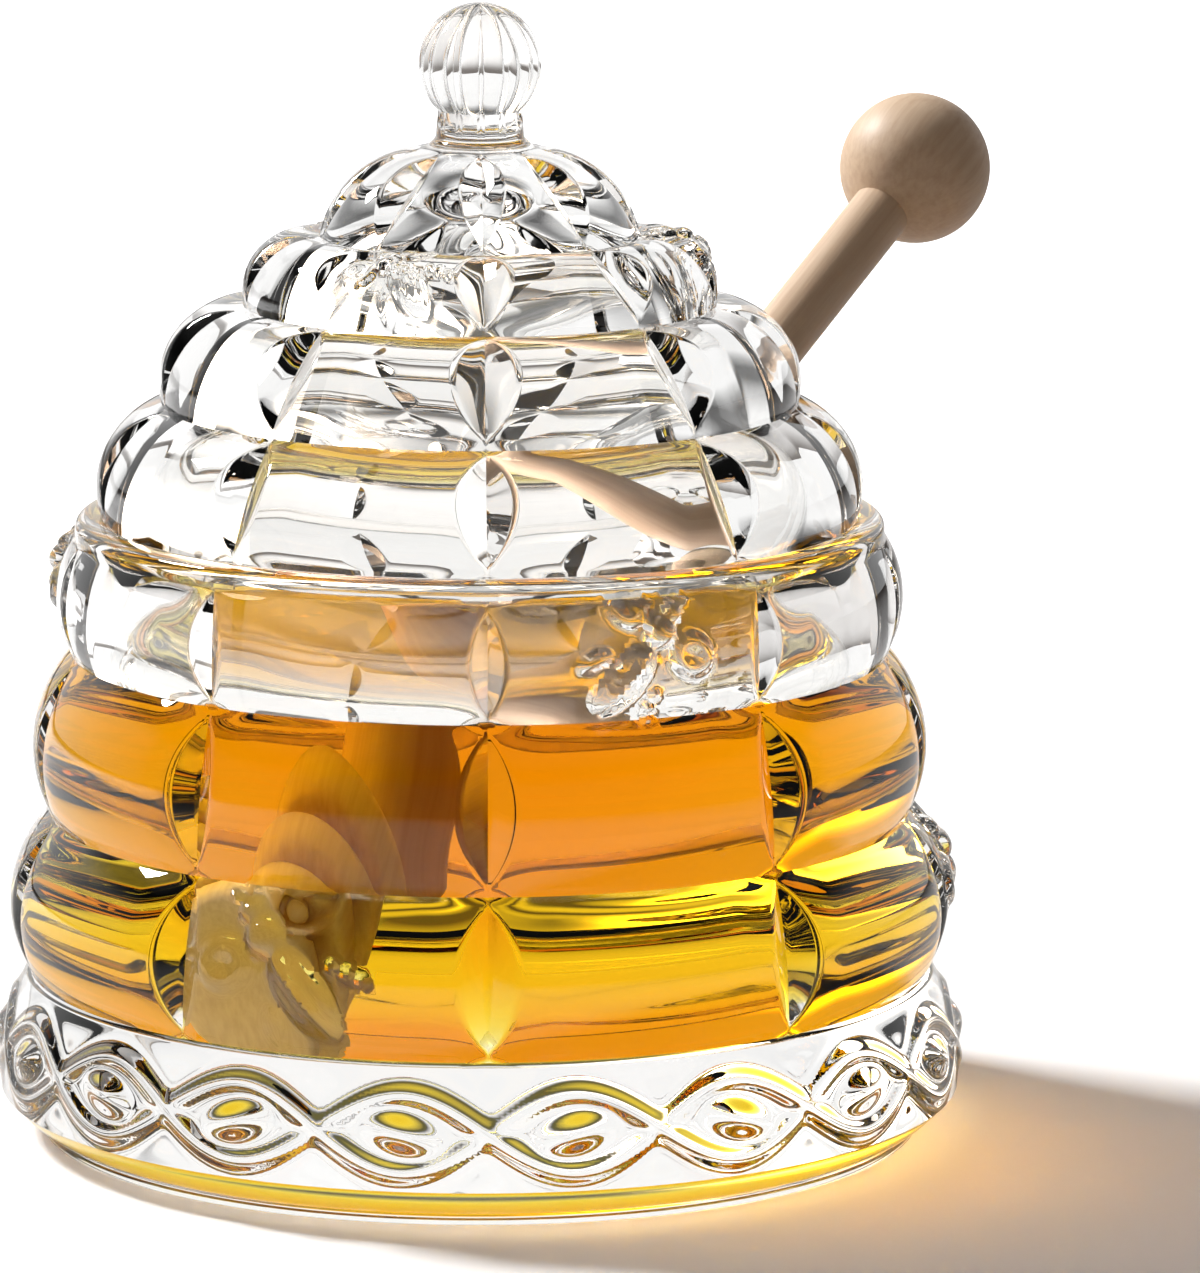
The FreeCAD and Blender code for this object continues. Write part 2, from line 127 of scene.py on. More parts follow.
def deselect():
    """Leave edit mode and let go of all that is selected."""
    if bpy.context.object and bpy.context.object.mode != "OBJECT":
        bpy.ops.object.mode_set(mode="OBJECT")
    bpy.ops.object.select_all(action="DESELECT")


def spin_outline(name, outline, columns):
    """Spin an outline round the pot's axis. Each vertex remembers its row on the outline."""
    deselect()
    mesh = bpy.data.meshes.new(name)
    count = len(outline.out)
    mesh.from_pydata([(out * math.cos(FIRST_CUT), out * math.sin(FIRST_CUT), up)
                      for out, up in zip(outline.out, outline.up)],
                     [(step, step + 1) for step in range(count - 1)], [])
    row = mesh.attributes.new("row", "INT", "POINT")
    row.data.foreach_set("value", list(range(count)))
    piece = bpy.data.objects.new(name, mesh)
    bpy.context.collection.objects.link(piece)
    bpy.context.view_layer.objects.active = piece
    piece.select_set(True)
    bpy.ops.object.mode_set(mode="EDIT")
    bpy.ops.mesh.select_all(action="SELECT")
    bpy.ops.mesh.spin(steps=columns, angle=2 * math.pi, center=(0, 0, 0), axis=(0, 0, 1))
    bpy.ops.mesh.select_all(action="SELECT")
    bpy.ops.mesh.remove_doubles(threshold=MERGE)
    bpy.ops.mesh.normals_make_consistent(inside=False)
    bpy.ops.object.mode_set(mode="OBJECT")
    return piece


def smooth_top(one, other, soft):
    """The higher of two heights, with the crease between them filled to a small round."""
    return np.maximum(one, other) + np.maximum(soft - np.abs(one - other), 0) ** 2 / (4 * soft)


def egg(aside, ahead, at, half, thick, sunk, twist=0.0, dish=0.0):
    """The height over the glass of an egg sunk in it, dished in its middle by a share of that."""
    turn = math.radians(twist)
    across, along = aside - at[0], ahead - at[1]
    wide = (across * math.cos(turn) + along * math.sin(turn)) / half[0]
    high = (along * math.cos(turn) - across * math.sin(turn)) / half[1]
    far = np.sqrt(wide ** 2 + high ** 2)
    top = thick * np.sqrt(np.clip(1 - far ** 2, 0, None)) - sunk
    top -= dish * thick * np.exp(-(far / DISH_WIDE) ** 2)
    return np.where(far < 1, top, -sunk - (far - 1) * thick)


def bee_relief(aside, ahead, pebbled):
    """The height of a bee over the glass, laid out in millimetres with its head ahead."""
    if pebbled:
        facets = 0.22 * np.cos(5.2 * aside) * np.cos(2.6 * (ahead + 6.9))
    else:
        facets = 0.3 * np.cos(2.9 * aside)
    tail = egg(aside, ahead, (0, -6.9), (2.5, 5.6), 2.0 + facets, 0.5)
    body = egg(aside, ahead, (0, 0), (2.3, 2.3), 2.0, 0.5)
    head = egg(aside, ahead, (0, 2.9), (1.6, 1.6), 1.6, 0.5)
    hind_leg = egg(aside, ahead, (-4.6, -7.6), (1.25, 2.7), 1.3, 0.6, twist=-28, dish=0.2)
    top = np.maximum.reduce([tail, body, head, hind_leg])
    for side in (-1, 1):
        wing = egg(aside, ahead, (5.2 * side, 0.3), (3.4, 2.9), 1.8, 0.5, twist=12 * side,
                   dish=0.55)
        feeler = egg(aside, ahead, (0.9 * side, 4.9), (0.4, 1.2), 0.9, 0.3, twist=-20 * side)
        top = np.maximum.reduce([top, wing, feeler])
    for bead in range(3):
        leg_bead = egg(aside, ahead, (4.3 + 0.75 * bead, -6.3 - 1.45 * bead), (0.85, 0.85),
                       1.1, 0.4)
        top = np.maximum(top, leg_bead)
    return top


def vine_relief(turn, up):
    """The height of the vine over the band: two broad strands that cross, a leaf in each eye."""
    half_turn = math.pi / PANELS
    sway = PANELS * (turn - FIRST_CUT - half_turn / 2)
    slope = VINE_SWAY * PANELS * np.sin(sway) / VINE_OUT
    lean = np.sqrt(1 + slope ** 2)
    top = np.zeros(turn.shape)
    for side in (-1, 1):
        off = (up - VINE_MIDDLE - side * VINE_SWAY * np.cos(sway)) / lean / VINE_WIDE
        over = 1 + VINE_CROSS * side * np.sin(sway)
        top = smooth_top(top, VINE_THICK * over * np.exp(-off ** 2), VINE_SOFT)
    place = np.floor((turn - FIRST_CUT) / half_turn)
    across = (turn - FIRST_CUT - (place + 0.5) * half_turn) * VINE_OUT
    lean = np.radians(np.where(place % 2 == 0, LEAF_LEAN, -LEAF_LEAN))
    along = (across * np.cos(lean) + (up - VINE_MIDDLE) * np.sin(lean)) / LEAF_LONG
    off = ((up - VINE_MIDDLE) * np.cos(lean) - across * np.sin(lean)) / LEAF_WIDE
    leaf = LEAF_THICK * np.exp(-LEAF_FALL * (along ** 2 + off ** 2))
    return smooth_top(top, leaf, VINE_SOFT)


def press_panels(piece, outline, columns, relief):
    """Press the rings: gather the columns at the mitre cuts, sink the cuts and raise the relief.

    relief holds a function for each ring, which gives its height over the glass at a turn and a
    place along the ring."""
    mesh = piece.data
    count = len(mesh.vertices)
    spots = np.empty(count * 3)
    mesh.vertices.foreach_get("co", spots)
    spots = spots.reshape(-1, 3)
    row = np.empty(count, dtype=int)
    mesh.attributes["row"].data.foreach_get("value", row)
    ring_of = np.array(outline.ring)[row]
    along_of = np.array(outline.along)[row]
    proud_of = np.array(outline.proud)[row]
    turn_of = np.arctan2(spots[:, 1], spots[:, 0])
    for number, ring in enumerate(outline.rings):
        mine = ring_of == number
        along, proud = along_of[mine], proud_of[mine]
        turn = (turn_of[mine] - FIRST_CUT) % (2 * math.pi)
        out = ring["middle"][0] + along * ring["way"][0] + proud * ring["face"][0]
        deep = CUT_DEPTH * np.maximum(proud - ring["root"], 0)
        if ring["cut"] > 0:
            column = np.rint(turn / PANEL_TURN * columns).astype(int)
            panel = (column + columns // 2) // columns
            step = column - panel * columns
            edge = np.maximum(deep / CUT_SLOPE, CUT_LEAST) / out
            inner = np.abs(step) / CUT_COLUMNS * edge
            outer = edge + (np.abs(step) - CUT_COLUMNS) / (columns / 2 - CUT_COLUMNS) * (
                PANEL_TURN / 2 - edge)
            aside = np.where(np.abs(step) <= CUT_COLUMNS, inner, outer)
            turn = panel * PANEL_TURN + np.sign(step) * aside
            apart = aside * out
            ground = np.maximum(deep - CUT_SLOPE * apart, 0)
            share = np.clip(proud / ring["bulge"], 0, 1)
            wide = np.minimum(PILLOW_WIDE, PANEL_TURN / 2 * out)
            pillow = PILLOW * np.clip(1 - apart / wide, 0, 1) ** 2 * np.sqrt(share)
            height = proud - ground - pillow
        else:
            height = proud.copy()
        raised = relief[number](turn + FIRST_CUT, along, out,
                                ring["middle"][1] + along * ring["way"][1])
        if raised is not None:
            height = smooth_top(height, proud + raised, SOFT_EDGE)
        out = ring["middle"][0] + along * ring["way"][0] + height * ring["face"][0]
        up = ring["middle"][1] + along * ring["way"][1] + height * ring["face"][1]
        spots[mine, 0] = out * np.cos(turn + FIRST_CUT)
        spots[mine, 1] = out * np.sin(turn + FIRST_CUT)
        spots[mine, 2] = up
    mesh.vertices.foreach_set("co", spots.reshape(-1))
    mesh.update()


def bees_on(panel, roll, share, bold=1.0, pebbled=False):
    """A ring's bees, evenly round it: the first stands so many panels on from the first cut.

    roll turns each bee, share is its size and bold raises it further from the glass."""
    def relief(turn, along, out, up):
        top = np.full(turn.shape, NO_BEE)
        lean = math.radians(roll)
        for bee in range(BEES):
            middle = FIRST_CUT + panel * PANEL_TURN + bee * 2 * math.pi / BEES
            across = ((turn - middle + math.pi) % (2 * math.pi) - math.pi) * out / mm / share
            rise = along / mm / share
            near = np.hypot(across, rise) < BEE_REACH
            aside = across[near] * math.cos(lean) + rise[near] * math.sin(lean)
            ahead = rise[near] * math.cos(lean) - across[near] * math.sin(lean) - BEE_MIDDLE
            top[near] = np.maximum(top[near], bee_relief(aside, ahead, pebbled) * share * bold)
        return top * mm
    return relief


def plain_ring(turn, along, out, up):
    """A ring with nothing raised on it."""
    return None


def vine_on_band(turn, along, out, up):
    """The vine on the band of the foot."""
    return vine_relief(turn, up / mm) * mm


def finish_piece(piece, *materials):
    """Give a piece its materials and smooth it, with its sharp edges kept."""
    for material in materials:
        piece.data.materials.append(material)
    deselect()
    bpy.context.view_layer.objects.active = piece
    piece.select_set(True)
    bpy.ops.object.shade_smooth_by_angle(angle=SMOOTH_ANGLE)


glass = bpy.data.materials.new("clear_glass")
glass.use_nodes = True
glass_shader = glass.node_tree.nodes["Principled BSDF"]
glass_shader.inputs["Base Color"].default_value = (1.0, 0.997, 0.985, 1)
glass_shader.inputs["Roughness"].default_value = 0.012
glass_shader.inputs["IOR"].default_value = 1.52
glass_shader.inputs["Transmission Weight"].default_value = 1.0

# The glass that the honey wets. Both have an IOR of 1.0, so light goes from one to the other
# unbent, and without a reflection from the skin between them.
wet_glass = glass.copy()
wet_glass.name = "wet_glass"
wet_shader = wet_glass.node_tree.nodes["Principled BSDF"]
wet_shader.inputs["IOR"].default_value = 1.0
wet_shader.inputs["Roughness"].default_value = 0.0

pot_outline = Outline()
pot_outline.add(0, 0)
pot_outline.add(FOOT_RAD - FOOT_STAND, 0)
pot_outline.quarter((FOOT_RAD - FOOT_ROUND, FOOT_ROUND), FOOT_ROUND, -90, 0, 4)
pot_outline.arc((FOOT_RAD, FOOT_LIP), (SWELL_RAD, SWELL_UP), bulge=0.3 * mm, count=12)
pot_outline.arc((SWELL_RAD, SWELL_UP), (BAND_RAD, BAND_UP), bulge=0.95 * mm, count=40, cut=0)
pot_outline.arc((BAND_RAD, BAND_UP), (LOW_RAD, LOW_UP), bulge=3.3 * mm, count=36, cut=2.6 * mm)
pot_outline.arc((LOW_RAD, LOW_UP), (MID_RAD, MID_UP), bulge=3.1 * mm, count=32, cut=2.4 * mm)
pot_outline.arc((MID_RAD, MID_UP), (TOP_RAD, TOP_UP), bulge=1.9 * mm, count=26, cut=1.5 * mm)
pot_outline.add(TOP_RAD, TOP_UP)
pot_outline.quarter((TOP_RAD - RIM_ROUND, POT_UP - RIM_ROUND), RIM_ROUND, 0, 90, 4)
pot_outline.quarter((MOUTH_RAD + RIM_ROUND, POT_UP - RIM_ROUND), RIM_ROUND, 90, 180, 4)
pot_outline.add(MOUTH_RAD, POT_UP - RIM_ROUND)
pot_outline.add(HONEY_RAD, HONEY_UP)
pot_outline.quarter((WELL_RAD - WELL_ROUND, WELL_FLOOR + WELL_ROUND), WELL_ROUND, 0, -90, 8)
pot_outline.add(WELL_RAD - WELL_ROUND, WELL_FLOOR)
pot_outline.add(0, WELL_FLOOR)
pot = spin_outline("pot_glass", pot_outline, PANELS * POT_COLUMNS)
press_panels(pot, pot_outline, POT_COLUMNS,
             [vine_on_band, bees_on(-0.6, 39, 1.12), plain_ring,
              bees_on(0.5, -39, 0.9, bold=1.35)])
finish_piece(pot, glass, wet_glass)
for face in pot.data.polygons:
    middle = face.center
    in_well = math.hypot(middle.x, middle.y) < HONEY_RAD + TOUCH
    under_level = WELL_FLOOR - TOUCH < middle.z < HONEY_UP
    face.material_index = int(in_well and under_level)
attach(pot, "root")
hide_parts("glass_pot")

# ------------------------------------------------------------------ glass lid
# The lid is pressed from the same glass: three rings and a ring of petals, a short neck and a
# ribbed ball to lift it by. It is hollow below, its skirt drops inside the pot's rim, and a notch
# in its edge lets the dipper out.

LID_COLUMNS = 60
SEAT_GAP = 0.05 * mm
SEAT = POT_UP + SEAT_GAP
SEAT_RAD = 42.5 * mm
BRIM_RAD, BRIM_UP = 35.7 * mm, 82.4 * mm
CAP_RAD, CAP_UP = 26.5 * mm, 93.5 * mm
HOOD_RAD, HOOD_UP = 18.0 * mm, 101.2 * mm
SLOPE_RAD, SLOPE_UP = 6.7 * mm, 111.0 * mm
NECK_RAD, NECK_UP = 4.7 * mm, 112.8 * mm
KNOB_RAD, KNOB_UP = 6.95 * mm, 120.25 * mm
KNOB_RIBS, RIB_DEEP, RIB_ROUND, RIB_CLEAR = 12, 0.95 * mm, 0.92, 0.1 * mm
SKIRT_OUT, SKIRT_IN, SKIRT_DOWN = 40.9 * mm, 38.5 * mm, 67.0 * mm
DOME = [(38.5 * mm, 69.6 * mm), (32.0 * mm, 81.2 * mm), (16.7 * mm, 97.8 * mm)]
VAULT_RAD, VAULT_TOP, VAULT_HALF = 22.97 * mm, 105.0 * mm, 46.6
DIPPER_TURN = math.radians(51)
NOTCH_RAD, NOTCH_UP, NOTCH_PAST = 4.8 * mm, 74.9 * mm, 2 * mm

lid_outline = Outline()
lid_outline.quarter((0, VAULT_TOP - VAULT_RAD), VAULT_RAD, 90, 90 - VAULT_HALF, 12)
lid_outline.add(*DOME[2])
lid_outline.add(*DOME[1])
lid_outline.add(*DOME[0])
lid_outline.add(SKIRT_IN, SKIRT_DOWN)
lid_outline.add(SKIRT_OUT, SKIRT_DOWN)
lid_outline.add(SKIRT_OUT, SEAT)
lid_outline.arc((SEAT_RAD, SEAT), (BRIM_RAD, BRIM_UP), bulge=3.2 * mm, count=28, cut=2.5 * mm)
lid_outline.arc((BRIM_RAD, BRIM_UP), (CAP_RAD, CAP_UP), bulge=3.8 * mm, count=28, cut=2.9 * mm)
lid_outline.arc((CAP_RAD, CAP_UP), (HOOD_RAD, HOOD_UP), bulge=3.3 * mm, count=26, cut=2.5 * mm)
lid_outline.arc((HOOD_RAD, HOOD_UP), (SLOPE_RAD, SLOPE_UP), bulge=2.5 * mm, count=22, cut=2.0 * mm)
lid_outline.arc((SLOPE_RAD, SLOPE_UP), (NECK_RAD, NECK_UP), bulge=-0.35 * mm, count=5)
knob_start = math.degrees(math.acos(NECK_RAD / KNOB_RAD))
lid_outline.quarter((0, KNOB_UP), KNOB_RAD, -knob_start, 90, 30)
lid_outline.add(0, KNOB_UP + KNOB_RAD)
lid = spin_outline("lid_glass", lid_outline, PANELS * LID_COLUMNS)
press_panels(lid, lid_outline, LID_COLUMNS,
             [plain_ring, plain_ring, bees_on(-0.55, 43, 0.7, pebbled=True), plain_ring])


def flute_knob(piece):
    """Press the ball's ribs: round ones along its meridians, shallower to the top and the neck."""
    mesh = piece.data
    spots = np.empty(len(mesh.vertices) * 3)
    mesh.vertices.foreach_get("co", spots)
    spots = spots.reshape(-1, 3)
    neck_top = KNOB_UP - KNOB_RAD * math.sin(math.radians(knob_start))
    ball = spots[:, 2] > neck_top + RIB_CLEAR
    out = np.hypot(spots[ball, 0], spots[ball, 1])
    turn = np.arctan2(spots[ball, 1], spots[ball, 0]) - FIRST_CUT
    rib = (turn / (2 * math.pi) * KNOB_RIBS) % 1 * 2 - 1
    tall = np.clip(out / KNOB_RAD, 0, 1)
    sink = RIB_DEEP * (1 - np.sqrt(1 - RIB_ROUND * rib ** 2)) * tall ** 1.5
    spots[ball, 0] *= 1 - sink / np.maximum(out, RIB_CLEAR)
    spots[ball, 1] *= 1 - sink / np.maximum(out, RIB_CLEAR)
    mesh.vertices.foreach_set("co", spots.reshape(-1))
    mesh.update()


flute_knob(lid)


def cut_notch(piece):
    """Cut the dipper's notch: an arch on straight sides, from the skirt's foot out to the rim."""
    deselect()
    bpy.ops.mesh.primitive_cylinder_add(vertices=48, radius=NOTCH_RAD, depth=MOUTH_RAD)
    cutter = bpy.context.object
    cutter.name = "notch_cutter"
    turn = Matrix.Rotation(DIPPER_TURN, 4, "Z") @ Matrix.Translation((MOUTH_RAD, 0, NOTCH_UP))
    cutter.data.transform(turn @ Matrix.Rotation(math.pi / 2, 4, "Y"))
    for spot in cutter.data.vertices:
        if spot.co.z < NOTCH_UP - TOUCH:
            spot.co.z = SKIRT_DOWN - NOTCH_PAST
    deselect()
    bpy.context.view_layer.objects.active = piece
    piece.select_set(True)
    cut = piece.modifiers.new("notch", "BOOLEAN")
    cut.operation = "DIFFERENCE"
    cut.solver = "EXACT"
    cut.object = cutter
    bpy.ops.object.modifier_apply(modifier="notch")
    bpy.data.objects.remove(cutter)


cut_notch(lid)
finish_piece(lid, glass)
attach(lid, "root")
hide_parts("glass_lid")

# ------------------------------------------------------------------ honey
# Clear amber honey fills the well up to the foot of the pot's top ring. It wets the glass, so it
# reaches just into the wall, and its level curls up there. The fill colours light by its depth,
# and the level is the thin open skin that bends it.

WET = 0.2 * mm
CURL_WIDE, CURL_HIGH, CURL_STEPS = 2.4 * mm, 0.7 * mm, 8
LEVEL_LIFT = 0.02 * mm
HONEY_COLUMNS = 240

honey_outline = Outline()
honey_outline.add(0, WELL_FLOOR - WET)
honey_outline.quarter((WELL_RAD - WELL_ROUND, WELL_FLOOR + WELL_ROUND), WELL_ROUND + WET,
                      -90, 0, 8)
honey_outline.add(WELL_RAD + WET, WELL_FLOOR + WELL_ROUND)
honey_outline.add(HONEY_RAD + WET, HONEY_UP)
level_outline = Outline()
level_outline.add(HONEY_RAD, HONEY_UP)
for step in range(CURL_STEPS + 1):
    curl = step / CURL_STEPS
    spot = (HONEY_RAD - CURL_WIDE * curl, HONEY_UP - CURL_HIGH * (1 - (1 - curl) ** 2))
    honey_outline.add(*spot)
    level_outline.add(spot[0], spot[1] + LEVEL_LIFT)
honey_outline.add(0, HONEY_UP - CURL_HIGH)
level_outline.add(0, HONEY_UP - CURL_HIGH + LEVEL_LIFT)
honey = spin_outline("honey_fill", honey_outline, HONEY_COLUMNS)
level = spin_outline("honey_level", level_outline, HONEY_COLUMNS)

honey_look = bpy.data.materials.new("honey")
honey_look.use_nodes = True
honey_shader = honey_look.node_tree.nodes["Principled BSDF"]
honey_shader.inputs["Base Color"].default_value = (1, 1, 1, 1)
honey_shader.inputs["Roughness"].default_value = 0.0
honey_shader.inputs["IOR"].default_value = 1.0
honey_shader.inputs["Transmission Weight"].default_value = 1.0
honey_depth = honey_look.node_tree.nodes.new("ShaderNodeVolumeAbsorption")
honey_depth.inputs["Color"].default_value = (0.985, 0.874, 0.0, 1)
honey_depth.inputs["Density"].default_value = 128.0
honey_look.node_tree.links.new(
    honey_depth.outputs["Volume"],
    honey_look.node_tree.nodes["Material Output"].inputs["Volume"])
level_look = glass.copy()
level_look.name = "honey_level"
level_look.node_tree.nodes["Principled BSDF"].inputs["IOR"].default_value = 1.49
finish_piece(honey, honey_look)
finish_piece(level, level_look)
if level.data.polygons[0].normal.z < 0:
    level.data.flip_normals()
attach(level, "root")
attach(honey, "root")
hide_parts("honey")

# ------------------------------------------------------------------ dipper stick
# The stick is turned from one length of beech: six round-edged discs at the tip hold the honey, and
# a plain rod runs up over the pot's rim and out through the lid's notch.

DIPPER_TILT = math.radians(33.35)
TIP_OUT = 35.0 * mm
TIP_UP = 23.2 * mm
ROD_RAD = 3.6 * mm
BALL_RAD = 9.0 * mm
BALL_FAR = 141.0 * mm
DISCS = 6
DISC_PITCH = 4.0 * mm
DISC_THICK = 2.4 * mm
DISC_ROUND = 0.9 * mm
TIP_RAD, DISC_SWELL, GROOVE_RAD = 7.5 * mm, 2.0 * mm, 4.6 * mm
BORE_DEEP, BORE_EASE = 8 * mm, 0.02 * mm
ROD_END = BALL_FAR - BALL_RAD + BORE_DEEP
DIPPER_COLUMNS = 96
GRAIN_DRAWN = 26


def lay_dipper(piece):
    """Lay a piece spun round its own Z axis on the dipper's line, from the tip out."""
    place = Matrix.Translation(
        (-TIP_OUT * math.cos(DIPPER_TURN), -TIP_OUT * math.sin(DIPPER_TURN), TIP_UP))
    turn = Matrix.Rotation(DIPPER_TURN, 4, "Z") @ Matrix.Rotation(math.pi / 2 - DIPPER_TILT, 4, "Y")
    piece.data.transform(place @ turn)
    piece.data.update()


def turned_wood(name, pale, dark, fine):
    """Beech turned along the dipper's line: fine grain and its pores, drawn out along it."""
    look = bpy.data.materials.new(name)
    look.use_nodes = True
    nodes, links = look.node_tree.nodes, look.node_tree.links
    shader = nodes["Principled BSDF"]
    shader.inputs["Roughness"].default_value = 0.5
    place = nodes.new("ShaderNodeTexCoord")
    swing = nodes.new("ShaderNodeMapping")
    swing.inputs["Rotation"].default_value = (0, 0, -DIPPER_TURN)
    tip = nodes.new("ShaderNodeMapping")
    tip.inputs["Rotation"].default_value = (0, DIPPER_TILT - math.pi / 2, 0)
    draw = nodes.new("ShaderNodeVectorMath")
    draw.operation = "MULTIPLY"
    draw.inputs[1].default_value = (fine, fine, fine / GRAIN_DRAWN)
    grain = nodes.new("ShaderNodeTexNoise")
    grain.inputs["Scale"].default_value = 1.0
    grain.inputs["Detail"].default_value = 5.0
    grain.inputs["Roughness"].default_value = 0.6
    tone = nodes.new("ShaderNodeValToRGB")
    tone.color_ramp.elements[0].position = 0.34
    tone.color_ramp.elements[0].color = (*dark, 1)
    tone.color_ramp.elements[1].position = 0.62
    tone.color_ramp.elements[1].color = (*pale, 1)
    pore = nodes.new("ShaderNodeBump")
    pore.inputs["Strength"].default_value = 0.15
    pore.inputs["Distance"].default_value = 0.0002
    links.new(place.outputs["Object"], swing.inputs["Vector"])
    links.new(swing.outputs["Vector"], tip.inputs["Vector"])
    links.new(tip.outputs["Vector"], draw.inputs[0])
    links.new(draw.outputs["Vector"], grain.inputs["Vector"])
    links.new(grain.outputs["Fac"], tone.inputs["Fac"])
    links.new(tone.outputs["Color"], shader.inputs["Base Color"])
    links.new(grain.outputs["Fac"], pore.inputs["Height"])
    links.new(pore.outputs["Normal"], shader.inputs["Normal"])
    return look


stick_outline = Outline()
stick_outline.add(0, 0)
for disc in range(DISCS):
    low = disc * DISC_PITCH
    disc_rad = TIP_RAD + DISC_SWELL * math.sin(math.pi * disc / (DISCS - 1))
    stick_outline.quarter((disc_rad - DISC_ROUND, low + DISC_ROUND), DISC_ROUND, -90, 0, 5)
    stick_outline.quarter((disc_rad - DISC_ROUND, low + DISC_THICK - DISC_ROUND), DISC_ROUND,
                          0, 90, 5)
    stick_outline.add(disc_rad - DISC_ROUND, low + DISC_THICK)
    if disc < DISCS - 1:
        stick_outline.add(GROOVE_RAD, low + DISC_THICK)
        stick_outline.add(GROOVE_RAD, low + DISC_PITCH)
stick_outline.add(ROD_RAD, (DISCS - 1) * DISC_PITCH + DISC_THICK)
stick_outline.add(ROD_RAD, ROD_END)
stick_outline.add(0, ROD_END)
stick = spin_outline("dipper_stick_wood", stick_outline, DIPPER_COLUMNS)
lay_dipper(stick)
wood = turned_wood("beech", pale=(0.76, 0.57, 0.40), dark=(0.67, 0.47, 0.31), fine=1400)
finish_piece(stick, wood)
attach(stick, "root")
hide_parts("dipper_stick")

# ------------------------------------------------------------------ dipper ball
# The ball on the dipper's end is a separate turning of the same beech. It is drilled, and glued
# on the rod's end, to lift the dipper by.

ball_outline = Outline()
bore_far = BALL_RAD * math.cos(math.asin(ROD_RAD / BALL_RAD))
mouth_turn = math.degrees(math.asin(ROD_RAD / BALL_RAD)) - 90
ball_outline.add(0, ROD_END)
ball_outline.add(ROD_RAD, ROD_END)
ball_outline.add(ROD_RAD + BORE_EASE, BALL_FAR - bore_far)
ball_outline.quarter((0, BALL_FAR), BALL_RAD, mouth_turn + 1, 90, 40)
ball_outline.add(0, BALL_FAR + BALL_RAD)
ball = spin_outline("dipper_ball_wood", ball_outline, DIPPER_COLUMNS)
lay_dipper(ball)
finish_piece(ball, wood)
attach(ball, "root")
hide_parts("dipper_ball")

# ------------------------------------------------------------------ table and studio
# A white table top runs back without a seam, under a small lamp to the upper left and behind. The
# glass sees the white backdrop, a darker band of the room above it, and the lamp's warm glow.
# Reflections see the backdrop behind the pot, and a dimmer room in front.

TABLE_RAD = 8
LAMP_SPOT, LAMP_AIM = Vector((-0.81, 0.49, 0.90)), Vector((0, 0, 0.05))
LAMP_WIDE = 0.22

deselect()
bpy.ops.mesh.primitive_circle_add(vertices=96, radius=TABLE_RAD, fill_type="NGON",
                                  location=(0, 0, -0.1 * mm))
table_top = bpy.context.object
table_top.name = "table_top"
table_look = bpy.data.materials.new("white_table")
table_look.use_nodes = True
nodes, links = table_look.node_tree.nodes, table_look.node_tree.links
nodes["Principled BSDF"].inputs["Base Color"].default_value = (0.97, 0.97, 0.97, 1)
nodes["Principled BSDF"].inputs["Roughness"].default_value = 0.9
nodes["Principled BSDF"].inputs["Specular IOR Level"].default_value = 0.0
table_ray = nodes.new("ShaderNodeLightPath")
table_spot = nodes.new("ShaderNodeTexCoord")
from_pot = nodes.new("ShaderNodeVectorMath")
from_pot.operation = "LENGTH"
# Painted light: for camera rays the table top glows with a faintly bluish white. The glow is weak
# by the pot, where it lifts the brightness of the pot's shadow, and rises to full white further
# out.
table_glow_by_distance = nodes.new("ShaderNodeMapRange")
table_glow_by_distance.inputs["From Min"].default_value = 0.10
table_glow_by_distance.inputs["From Max"].default_value = 0.6
table_glow_by_distance.inputs["To Min"].default_value = 0.13
table_glow_by_distance.inputs["To Max"].default_value = 1.0
camera_only = nodes.new("ShaderNodeMath")
camera_only.operation = "MULTIPLY"
links.new(table_spot.outputs["Object"], from_pot.inputs[0])
links.new(from_pot.outputs["Value"], table_glow_by_distance.inputs["Value"])
links.new(table_glow_by_distance.outputs["Result"], camera_only.inputs[0])
links.new(table_ray.outputs["Is Camera Ray"], camera_only.inputs[1])
links.new(camera_only.outputs["Value"], nodes["Principled BSDF"].inputs["Emission Strength"])
nodes["Principled BSDF"].inputs["Emission Color"].default_value = (0.96, 0.96, 1.0, 1)
dim = nodes.new("ShaderNodeBsdfDiffuse")
dim.inputs["Color"].default_value = (0.3, 0.27, 0.25, 1)
by_ray = nodes.new("ShaderNodeMixShader")
links.new(table_ray.outputs["Is Diffuse Ray"], by_ray.inputs["Fac"])
links.new(nodes["Principled BSDF"].outputs["BSDF"], by_ray.inputs[1])
links.new(dim.outputs["BSDF"], by_ray.inputs[2])
links.new(by_ray.outputs["Shader"], nodes["Material Output"].inputs["Surface"])
table_top.data.materials.append(table_look)

room = bpy.data.worlds.new("room")
bpy.context.scene.world = room
room.use_nodes = True
nodes, links = room.node_tree.nodes, room.node_tree.links
nodes.clear()
ray = nodes.new("ShaderNodeLightPath")
look_way = nodes.new("ShaderNodeTexCoord")
parts_of_way = nodes.new("ShaderNodeSeparateXYZ")
heights = nodes.new("ShaderNodeValToRGB")
ramp = heights.color_ramp
stops = [(0.0, 1.0), (0.40, 1.0), (0.47, 0.45), (0.52, 0.15), (0.58, 0.15), (0.64, 0.55),
         (0.74, 1.0)]
ramp.elements[0].position, ramp.elements[0].color = stops[0][0], (stops[0][1],) * 3 + (1,)
ramp.elements[1].position, ramp.elements[1].color = stops[-1][0], (stops[-1][1],) * 3 + (1,)
for spot, shade in stops[1:-1]:
    ramp.elements.new(spot).color = (shade, shade, shade, 1)
toward_lamp = nodes.new("ShaderNodeVectorMath")
toward_lamp.operation = "DOT_PRODUCT"
toward_lamp.inputs[1].default_value = LAMP_SPOT.normalized()
lamp_glow = nodes.new("ShaderNodeMapRange")
lamp_glow.interpolation_type = "SMOOTHERSTEP"
